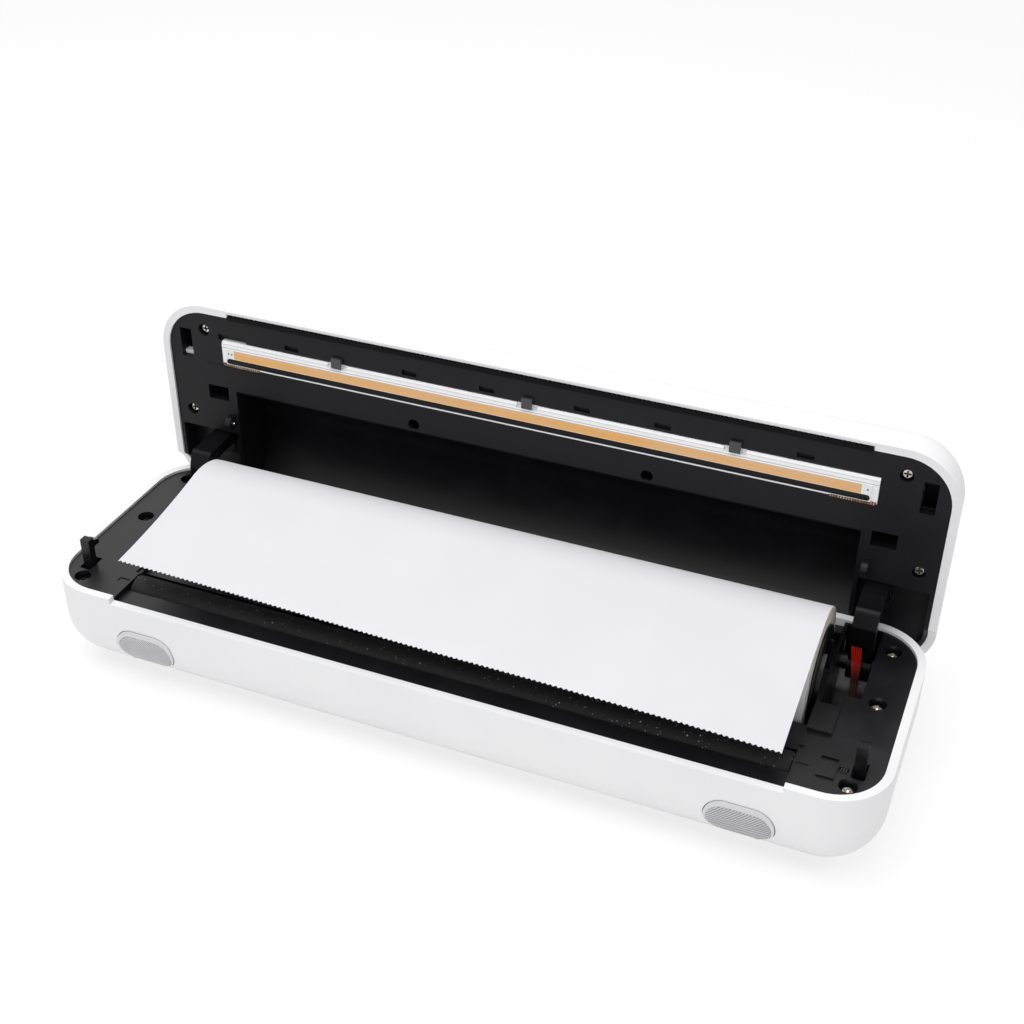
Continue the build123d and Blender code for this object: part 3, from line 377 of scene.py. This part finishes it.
def contact_strip():
    """Fine brown and gold lines across the strip, as on a printed connector."""
    f = Finish("contact_strip", (0.35, 0.2, 0.1), 0.4)
    (x,) = f.parts("X")
    line_pitch = 0.8
    lines = (x * (2 * pi / line_pitch) + f.noise(2.5, 2.0) * 3.0).maths("SINE").step(-0.1, 0.5)
    gold = f.mix(f.noise(3.0, 3.0, contrast=(0.35, 0.65)), (0.24, 0.10, 0.045), (0.62, 0.44, 0.30))
    f.colour(f.mix(lines, (0.045, 0.026, 0.018), gold))
    f.put("Metallic", lines * 0.5)
    f.bump(lines, 0.05)
    return f.material


def heater_glaze():
    """Amber glass over the heater line, with the line itself a shade darker along its middle."""
    f = Finish("heater_glaze", (0.82, 0.49, 0.26), 0.2)
    (z,) = f.parts("Z")
    line_edge = (0.1, 0.3)
    line = 1.0 - (z - glaze_middle).absolute().step(*line_edge)
    patches = f.noise(9.0, 3.0, stretch=(0.3, 1, 1), contrast=(0.35, 0.65))
    body = f.mix(patches, (0.82, 0.43, 0.125), (0.80, 0.47, 0.21))
    f.colour(f.mix(line * 0.1, body, (0.45, 0.26, 0.14)))
    f.put("Roughness", 0.18 + f.noise(2.0, 3.0) * 0.12)
    f.bump(f.noise(1.5, 2.0, stretch=(0.2, 1, 1)), 0.01)
    return f.material


def head_ceramic():
    """White ceramic with the black test dots beyond both ends of the glaze."""
    f = Finish("head_ceramic", (0.72, 0.73, 0.74), 0.22)
    x, z = f.parts("XZ")
    dot_edge = (0.22, 0.42)

    def test_dot(dot_x):
        far = ((x - dot_x) ** 2.0 + (z - glaze_middle) ** 2.0) ** 0.5
        return 1.0 - far.step(*dot_edge)

    dots = test_dot(-glaze_end - 2.1) + test_dot(-glaze_end - 0.9) + test_dot(glaze_end + 1.9)
    body = f.mix(f.noise(6.0, 3.0), (0.82, 0.83, 0.84), (0.89, 0.895, 0.90))
    f.colour(f.mix(dots.clamp() * 0.9, body, (0.02, 0.02, 0.02)))
    f.put("Roughness", 0.18 + f.noise(4.0, 3.0) * 0.12)
    f.bump(f.noise(0.5, 3.0), 0.01)
    return f.material


def head_plate():
    """White head plate, with shaded grooves along the ceramic and along the bevel."""
    f = Finish("head_plate", (0.78, 0.785, 0.79), 0.3)
    (z,) = f.parts("Z")
    ceramic_top = box_mm("ceramic_board")[1].z
    plate_top = box_mm("heatsink")[1].z
    groove_z = ceramic_top + 0.14
    bevel_z = plate_top - 0.85
    groove = 1.0 - (z - groove_z).absolute().step(0.06, 0.2)
    bevel = 1.0 - (z - bevel_z).absolute().step(0.05, 0.22)
    body = f.mix(f.noise(6.0, 3.0), (0.88, 0.885, 0.89), (0.93, 0.93, 0.935))
    f.colour(f.mix((groove + bevel * 0.6).clamp() * 0.6, body, (0.22, 0.215, 0.22)))
    f.put("Roughness", 0.26 + f.noise(4.0, 3.0) * 0.1)
    f.bump(f.noise(0.5, 3.0), 0.012)
    return f.material


# smooth margins of a pad: above, at the ends of and below its ribs
PAD_TOP, PAD_SIDE, PAD_FOOT = 1.8, 0.8, 0.2


def ribbed_zone(side):
    """Middle, half of the straight length and end radius of the ribbed part of a pad."""
    low, high = box_mm(f"release_button_{side}")
    end_radius = (high.z - low.z - PAD_TOP - PAD_FOOT) / 2
    straight = (high.x - low.x) / 2 - PAD_SIDE - end_radius
    return (low.x + high.x) / 2, low.z + PAD_FOOT + end_radius, straight, end_radius


def pad_cap(side):
    """Pale grey pad: its rim is smooth and light, and the floor between the ribs is painted shade, a
    darker grey.
    """
    middle_x, middle_z, straight, end_radius = ribbed_zone(side)
    f = Finish(f"pad_cap_{side}", (0.6, 0.6, 0.61), 0.4)
    x, z = f.parts("XZ")
    beyond = ((x - middle_x).absolute() - straight).at_least(0.0)
    far = (beyond ** 2.0 + (z - middle_z) ** 2.0) ** 0.5
    margin = far.step(end_radius - 0.15, end_radius + 0.15)
    rim = f.mix(f.noise(5.0, 3.0), (0.66, 0.66, 0.68), (0.70, 0.70, 0.72))
    # painted shade: the ribbed zone between the ribs is coloured darker than the rim
    f.colour(f.mix(margin, (0.27, 0.27, 0.285), rim))
    f.put("Roughness", 0.36 + f.noise(4.0, 3.0) * 0.1)
    f.bump(f.noise(0.4, 3.0), 0.012)
    return f.material


def wire_vinyl():
    """Red vinyl that lies in ever deeper shade down the slot."""
    f = Finish("wire_vinyl", (0.4, 0.01, 0.005), 0.32)
    (z,) = f.parts("Z")
    dark_below, bright_above = wires_top - 8.5, wires_top - 0.5
    light = (z + f.noise(2.0, 2.0) * 3.0).step(dark_below, bright_above)
    shade = f.mix(f.noise(3.0, 3.0), (0.014, 0.001, 0.001), (0.03, 0.0015, 0.0015))
    bright = f.mix(f.noise(3.0, 3.0), (0.50, 0.012, 0.004), (0.40, 0.009, 0.004))
    f.colour(f.mix(light, shade, bright))
    f.put("Roughness", 0.28 + f.noise(2.0, 3.0) * 0.1)
    f.bump(f.noise(0.6, 2.0), 0.01)
    return f.material


def strike_steel():
    """Blackened steel, with a painted highlight: a pale strip low on the left-hand strike, which is the
    same steel as the right-hand one.
    """
    f = Finish("strike_steel", (0.02, 0.02, 0.02), 0.4, metallic=1.0)
    x, z = f.parts("XZ")
    foot = box_mm("latch_strikes")[0].z
    on_left = (x * -1.0).step(-1.0, 1.0)
    # painted highlight: a pale, unmetallic strip low on the left-hand strike only
    strip = (1.0 - z.step(foot + 3.9, foot + 4.2)) * on_left
    dull = f.mix(f.noise(2.0, 3.0), (0.010, 0.010, 0.010), (0.02, 0.02, 0.021))
    f.colour(f.mix(strip, dull, (0.85, 0.85, 0.86)))
    f.put("Metallic", 1.0 - strip)
    f.put("Roughness", 0.36 + f.noise(1.5, 3.0) * 0.15)
    f.bump(f.noise(0.5, 3.0), 0.01)
    return f.material


place_camera()
glaze_low, glaze_high = box_mm("heater_glaze")
glaze_middle = (glaze_low.z + glaze_high.z) / 2
glaze_end = glaze_high.x
wires_top = box_mm("wire_bundle")[1].z
roll_low, roll_high = box_mm("paper_roll")
roll_y = (roll_low.y + roll_high.y) / 2
roll_z = (roll_low.z + roll_high.z) / 2
roll_half = roll_high.x
roll_radius = (roll_high.z - roll_low.z) / 2

finishes = {
    "white_case": white_moulding(),
    "black_moulding": black_plastic("black_deck", 0.0048, 0.36, 0.45, dusty_front=True),
    "black_fittings": black_plastic("black_fitting", 0.0045, 0.34, 0.28, 0.3),
    "grey_button": plastic("grey_button", (0.40, 0.405, 0.415), 0.42),
    "rubber_mat": mat_rubber(),
    "platen_rubber": platen_rubber(),
    "platen_tube": metal("platen_tube", 0.6, 0.35),
    "steel": screw_steel(),
    "plated_sheet": metal("plated_sheet", 0.62, 0.3, grain=(0.1, 1, 1)),
    "gear_plastic": plastic("gear_plastic", (0.78, 0.77, 0.72), 0.4),
    "paper": wound_paper(),
    "core_board": grey_board(),
    "head_metal": head_plate(),
    "head_ceramic": head_ceramic(),
    "glaze": heater_glaze(),
    "driver_resin": plastic("driver_resin", (0.004, 0.004, 0.0045), 0.3, gloss=0.2),
    "board": plastic("board", (0.03, 0.16, 0.07), 0.35),
    "component_black": plastic("component_black", (0.03, 0.03, 0.032), 0.4),
    "battery_wrap": plastic("battery_wrap", (0.07, 0.12, 0.3), 0.25),
    "light_guide": plastic("light_guide", (0.8, 0.82, 0.84), 0.15),
    "red_wire": wire_vinyl(),
}
slot_of = {part["node"]: part["material_slot"] for part in frame["record"]["subparts"]}
bodies = frame["record"]["behaviour"]["bodies"]
body_of_node = {node: body for body, nodes in bodies.items() for node in nodes}
# painted shade: the hinge pins and arm screws are coloured as nearly black steel
shaded_pin_steel = metal("shaded_pin_metal", 0.03, 0.4)
arm_black = black_plastic("black_arm", 0.004, 0.4, 0.13, 0.3)
own_finish = {
    "lid_plate": black_plastic("black_lid", 0.0066, 0.46, 0.22),
    "roll_cover": black_plastic("black_channel", 0.0066, 0.38, 0.22),
    "tear_bar": black_plastic("black_tear_bar", 0.003, 0.5, 0.1),
    "head_contacts": contact_strip(),
    "head_clips": plastic("clip_grey", (0.05, 0.05, 0.052), 0.4),
    "latch_strikes": strike_steel(),
    "hinge_pin_right": shaded_pin_steel,
    "hinge_pin_left": shaded_pin_steel,
    "arm_screws": shaded_pin_steel,
    "hinge_arm_right": arm_black,
    "hinge_arm_left": arm_black,
    "release_button_right": pad_cap("right"),
    "release_button_left": pad_cap("left"),
}


def dress(piece, material):
    piece.data.materials.clear()
    piece.data.materials.append(material)


def finish_of(node):
    return own_finish.get(node, finishes[slot_of[node]])


for node in slot_of:
    dress(frame["nodes"][node], finish_of(node))


# ---------------------------------------------------------------- ways of making a piece
def select_only(piece):
    bpy.ops.object.select_all(action="DESELECT")
    piece.select_set(True)
    bpy.context.view_layer.objects.active = piece


def named(name):
    piece = bpy.context.object
    piece.name = name
    piece.data.name = name
    return piece


def settle(piece):
    """Puts the piece's place, turn and size into its mesh."""
    select_only(piece)
    bpy.ops.object.transform_apply(location=True, rotation=True, scale=True)


def modify(piece, kind, **settings):
    select_only(piece)
    modifier = piece.modifiers.new(kind.lower(), kind)
    for key, setting in settings.items():
        setattr(modifier, key, setting)
    bpy.ops.object.modifier_apply(modifier=modifier.name)


def smooth(piece, degrees=35):
    select_only(piece)
    bpy.ops.object.shade_smooth_by_angle(angle=radians(degrees))


def edit(piece, *steps):
    """Runs edit-mode operators on the whole of a piece."""
    select_only(piece)
    bpy.ops.object.mode_set(mode="EDIT")
    bpy.ops.mesh.select_all(action="SELECT")
    for step in steps:
        step()
    bpy.ops.object.mode_set(mode="OBJECT")


def hand_over(piece, node, replaces=True, material=None):
    """Gives a piece the body and finish of a CAD node, and hides the node when the piece replaces it."""
    dress(piece, material or finish_of(node))
    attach(piece, body_of_node[node])
    if replaces:
        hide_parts(node)


def tubes(name, paths, radius, rings=2):
    """Round bars along paths of points in millimetres, as one mesh."""
    curve = bpy.data.curves.new(name, "CURVE")
    curve.dimensions = "3D"
    curve.bevel_depth = radius * MM
    curve.bevel_resolution = rings
    curve.use_fill_caps = True
    for path in paths:
        line = curve.splines.new("POLY")
        line.points.add(len(path) - 1)
        for point, place in zip(line.points, path):
            point.co = (*mm(*place), 1.0)
    bar = bpy.data.objects.new(name, curve)
    bpy.context.collection.objects.link(bar)
    select_only(bar)
    bpy.ops.object.convert(target="MESH")
    piece = named(name)
    weld = 0.001 * MM
    edit(
        piece,
        lambda: bpy.ops.mesh.remove_doubles(threshold=weld),
        lambda: bpy.ops.mesh.normals_make_consistent(),
    )
    return piece


def sheet(name, columns, rows, shape):
    """A grid bent to shape(u, v) in millimetres, with u and v from 0 to 1."""
    bpy.ops.mesh.primitive_grid_add(
        x_subdivisions=columns, y_subdivisions=rows, size=1.0, location=(0.5, 0.5, 0)
    )
    piece = named(name)
    settle(piece)
    for vertex in piece.data.vertices:
        vertex.co = mm(*shape(vertex.co.x, vertex.co.y))
    return piece


def softened(node, width):
    """The CAD piece again, with its edges rounded as a moulding's or a casting's are."""
    weld = 0.002 * MM
    flat_within, edge_from, crease_from = 1.0, 32, 40  # degrees
    source = frame["nodes"][node]
    piece = source.copy()
    piece.data = source.data.copy()
    piece.parent = None
    piece.matrix_world = source.matrix_world
    bpy.context.collection.objects.link(piece)
    piece.hide_render = False
    piece.hide_viewport = False
    for key in list(piece.keys()):
        del piece[key]
    select_only(piece)
    named(node + "_soft")
    edit(
        piece,
        lambda: bpy.ops.mesh.remove_doubles(threshold=weld),
        lambda: bpy.ops.mesh.dissolve_limited(angle_limit=radians(flat_within)),
    )
    modify(
        piece, "BEVEL", width=width * MM, segments=2, limit_method="ANGLE",
        angle_limit=radians(edge_from), use_clamp_overlap=True, harden_normals=False,
    )
    smooth(piece, crease_from)
    modify(piece, "WEIGHTED_NORMAL", keep_sharp=True, weight=50)
    hand_over(piece, node)


# ---------------------------------------------------------------- paper
def paper_off_the_roll():
    """The last turn over the roll, and the free paper that comes forward to a toothed, twisted tear."""
    gap = 0.1
    thickness = 0.13
    teeth = 131
    tooth = 0.6
    torn_from = 0.94  # share of the free length at which the teeth begin
    lift_left, lift_right = 3.4, -1.0
    start = radians(62)
    radius = roll_radius + gap
    tip_y = box_mm("paper_web")[0].y
    tip_z = roll_z + 11.7
    far = hypot(tip_y - roll_y, tip_z - roll_z)
    leave = atan2(tip_z - roll_z, tip_y - roll_y) - acos(radius / far)
    leave_y = roll_y + radius * cos(leave)
    leave_z = roll_z + radius * sin(leave)
    free_length = hypot(tip_y - leave_y, tip_z - leave_z)
    along_y = (tip_y - leave_y) / free_length
    along_z = (tip_z - leave_z) / free_length

    def on_roll(u, v):
        angle = start + (leave - start) * v
        return (2 * u - 1) * roll_half, roll_y + radius * cos(angle), roll_z + radius * sin(angle)

    def free(u, v):
        share = (u * teeth + 0.5) % 1.0
        torn = tooth * (1 - abs(2 * share - 1)) * max(0.0, (v - torn_from) / (1 - torn_from))
        run = v * free_length + torn
        rise = (lift_left + (lift_right - lift_left) * u) * v * v
        slow_wave = 0.25 * sin(3.1 * pi * u + 0.6)
        quick_wave = 0.08 * sin(23.0 * u) * u
        wave = (slow_wave + quick_wave) * v * v
        return (2 * u - 1) * roll_half, leave_y + along_y * run, leave_z + along_z * run + rise + wave

    wrap = sheet("paper_wrap", 40, 24, on_roll)
    modify(wrap, "SOLIDIFY", thickness=thickness * MM, offset=0.0)
    smooth(wrap)
    hand_over(wrap, "paper_web", material=plain)
    lead = sheet("paper_lead", teeth * 4, 20, free)
    modify(lead, "SOLIDIFY", thickness=thickness * MM, offset=0.0)
    smooth(lead)
    hand_over(lead, "paper_web", material=plain)
    mm(0, leave_y, leave_z)
    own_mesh(lead)


# ---------------------------------------------------------------- ribbed pads
def ribs(side):
    """Slanting ribs on a release button, which follow the curve of the case's front."""
    node = f"release_button_{side}"
    low = box_mm(node)[0]
    middle_x, middle_z, straight, end_radius = ribbed_zone(side)
    slant = 1 if side == "right" else -1
    pitch, radius, proud = 0.7, 0.2, 0.04
    step_length, half_steps, fewest_steps = 0.3, 60, 3
    pad_round = case_round + button_proud
    curve_top = case_foot + case_round

    def face_y(z):
        drop = max(0.0, curve_top - z)
        return low.y + pad_round - sqrt(pad_round**2 - drop**2)

    def on_pad(x, z):
        return hypot(max(abs(x) - straight, 0.0), z) < end_radius

    paths = []
    count = int((straight + end_radius) / pitch)
    for number in range(-count, count + 1):
        line = []
        for step in range(-half_steps, half_steps + 1):
            across, along = number * pitch / sqrt(2), step * step_length / sqrt(2)
            line.append((slant * (across + along), along - across))
        inside = [(x, z) for x, z in line if on_pad(x, z)]
        if len(inside) > fewest_steps:
            paths.append(
                [(middle_x + x, face_y(middle_z + z) + proud, middle_z + z) for x, z in inside]
            )
    piece = tubes(f"pad_ribs_{side}", paths, radius, rings=1)
    smooth(piece)
    hand_over(piece, node, replaces=False, material=rib_grey)


# ---------------------------------------------------------------- springs and wires
def coil(x, y, low, high, radius, wire, turns):
    """Points of an upright spring between two heights."""
    steps = 14
    points = []
    for number in range(turns * steps + 1):
        angle = 2 * pi * number / steps
        rise = low + wire + (high - low - 2 * wire) * number / (turns * steps)
        points.append((x + radius * cos(angle), y + radius * sin(angle), rise))
    return points


def latch_spring(side):
    node = f"latch_spring_{side}"
    low, high = box_mm(node)
    wire, turns = 0.22, 6
    radius = (high.x - low.x) / 2 - wire
    path = coil((low.x + high.x) / 2, (low.y + high.y) / 2, low.z, high.z, radius, wire, turns)
    piece = tubes(node + "_coil", [path], wire)
    smooth(piece)
    hand_over(piece, node)
    mm(low.x, low.y, high.z)
    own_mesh(piece)


def head_springs():
    """Four coils behind the head. They lie along Y while the lid stands open."""
    low, high = box_mm("head_springs")
    wire, turns = 0.3, 5
    radius = (high.z - low.z) / 2 - wire
    middle_z = (low.z + high.z) / 2
    spring_places = (-92, -31, 31, 92)
    paths = []
    for x in spring_places:
        upright = coil(x, 0.0, low.y, high.y, radius, wire, turns)
        paths.append([(px, pz, middle_z + py) for px, py, pz in upright])
    piece = tubes("head_spring_coils", paths, wire)
    smooth(piece)
    hand_over(piece, "head_springs")
    mm(0, high.y, 0)
    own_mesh(piece)


def head_wires():
    """Five red wires that come up through the slot below the right-hand arm, bunched lower down."""
    low, high = box_mm("wire_bundle")
    wires, radius, pitch = 5, 0.35, 0.7
    lean = 0.14  # across, for each millimetre down
    stagger = 0.55
    steps = 56
    rounding = 0.35
    middle = (wires - 1) / 2
    middle_x = low.x + radius + middle * pitch
    # the route, as shares of the bundle's depth and height
    route = [
        (0.0, 0.0), (0.2, 0.005), (0.41, 0.03), (0.56, 0.17),
        (0.68, 0.33), (0.86, 0.61), (0.965, 0.83), (1.0, 1.0),
    ]

    def on_route(share):
        at = share * (len(route) - 1)
        index = min(int(at), len(route) - 2)
        part = at - index
        part = part * part * (3 - 2 * part) * rounding + part * (1 - rounding)
        (y0, z0), (y1, z1) = route[index], route[index + 1]
        return y0 + (y1 - y0) * part, z0 + (z1 - z0) * part

    def wire_point(number, share):
        y_share, z_share = on_route(share)
        spread = pitch * (0.5 + 0.5 * z_share**2)
        back = stagger * (number % 2) * (1 - z_share)
        y = low.y + radius + (high.y - low.y - 2 * radius) * y_share - back
        z = low.z + radius + (high.z - low.z - 2 * radius) * z_share
        return middle_x + (number - middle) * spread + lean * (high.z - z), y, z

    paths = [[wire_point(number, step / steps) for step in range(steps + 1)] for number in range(wires)]
    piece = tubes("head_wires", paths, radius)
    modify(piece, "SMOOTH", factor=0.5, iterations=3)
    smooth(piece, 60)
    hand_over(piece, "wire_bundle")
    mm(0, 0, low.z)
    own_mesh(piece)


def boss_pin():
    """Bright pin that stands out of the boss at the left end of the lid's channel."""
    place = mm(-109.0, 39.7, 51.7)
    radius, length, edge = 0.45, 1.2, 0.12
    bpy.ops.mesh.primitive_cylinder_add(
        vertices=24, radius=radius * MM, depth=length * MM, location=place, rotation=(0, pi / 2, 0)
    )
    piece = named("boss_pin")
    settle(piece)
    modify(piece, "BEVEL", width=edge * MM, segments=2, limit_method="ANGLE")
    smooth(piece)
    hand_over(piece, "lid_screws", replaces=False)


case_foot = box_mm("base_shell")[0].z
case_round = 17.0
button_proud = 0.5
plain = plain_paper()
rib_grey = plastic("rib_grey", (0.60, 0.60, 0.62), 0.4)

paper_off_the_roll()
for side in ("right", "left"):
    ribs(side)
    latch_spring(side)
head_springs()
head_wires()
boss_pin()
edge_widths = {
    "base_shell": 0.35, "lid_shell": 0.35, "chassis": 0.2, "lid_plate": 0.2, "roll_cover": 0.25,
    "latch_lever_right": 0.3, "latch_lever_left": 0.3, "hinge_arm_right": 0.8, "hinge_arm_left": 0.8,
    "release_button_right": 0.2, "release_button_left": 0.2, "heatsink": 0.12, "head_clips": 0.15,
    "roll_cap_right": 0.25, "roll_cap_left": 0.25, "deck_screws": 0.15, "lid_screws": 0.12,
}
for node, width in edge_widths.items():
    softened(node, width)


# ---------------------------------------------------------------- room
FLOOR_SIZE = 6.0  # metres
GLOW = 1.04
GLOW_TO_CAMERA, GLOW_TO_GLOSS = 0.74, 0.5  # how much of the floor these rays see as glow
SKY_LIGHT, SKY_SEEN = 0.5, 1.0


def room():
    """A floor and a sky that look white, without more light on the printer."""
    bpy.ops.mesh.primitive_plane_add(size=FLOOR_SIZE, location=(0, 0, 0))
    floor = named("floor")
    f = Finish("pale_floor", (0.9, 0.9, 0.9), 0.9)
    camera_ray = f.node("ShaderNodeLightPath", {}, out="Is Camera Ray")
    glossy_ray = f.node("ShaderNodeLightPath", {}, out="Is Glossy Ray")
    glow = f.node("ShaderNodeEmission", {}, Color=(1, 1, 1), Strength=GLOW)
    mixed = f.tree.nodes.new("ShaderNodeMixShader")
    f.feed(mixed.inputs[0], camera_ray * GLOW_TO_CAMERA + glossy_ray * GLOW_TO_GLOSS)
    f.tree.links.new(f.shader.outputs[0], mixed.inputs[1])
    f.tree.links.new(glow.socket, mixed.inputs[2])
    f.tree.links.new(mixed.outputs[0], f.tree.nodes["Material Output"].inputs[0])
    dress(floor, f.material)
    world = bpy.data.worlds.new("studio")
    bpy.context.scene.world = world
    world.use_nodes = True
    nodes, links = world.node_tree.nodes, world.node_tree.links
    light = nodes.new("ShaderNodeLightPath")
    seen = nodes.new("ShaderNodeMath")
    seen.operation = "MAXIMUM"
    links.new(light.outputs["Is Camera Ray"], seen.inputs[0])
    links.new(light.outputs["Is Glossy Ray"], seen.inputs[1])
    strength = nodes.new("ShaderNodeMapRange")
    links.new(seen.outputs[0], strength.inputs[0])
    strength.inputs["To Min"].default_value = SKY_LIGHT
    strength.inputs["To Max"].default_value = SKY_SEEN
    nodes["Background"].inputs[0].default_value = (1, 1, 1, 1)
    links.new(strength.outputs[0], nodes["Background"].inputs[1])


room()
soft_lamp("overhead", (-0.15, -0.1, 1.1), (0, 0, 0.03), (1.1, 0.9), 10.0)
soft_lamp("front", (0.35, -1.1, 0.75), (0, 0, 0.03), (0.9, 0.6), 1.6)

scene = bpy.context.scene
scene.view_settings.view_transform = "Standard"
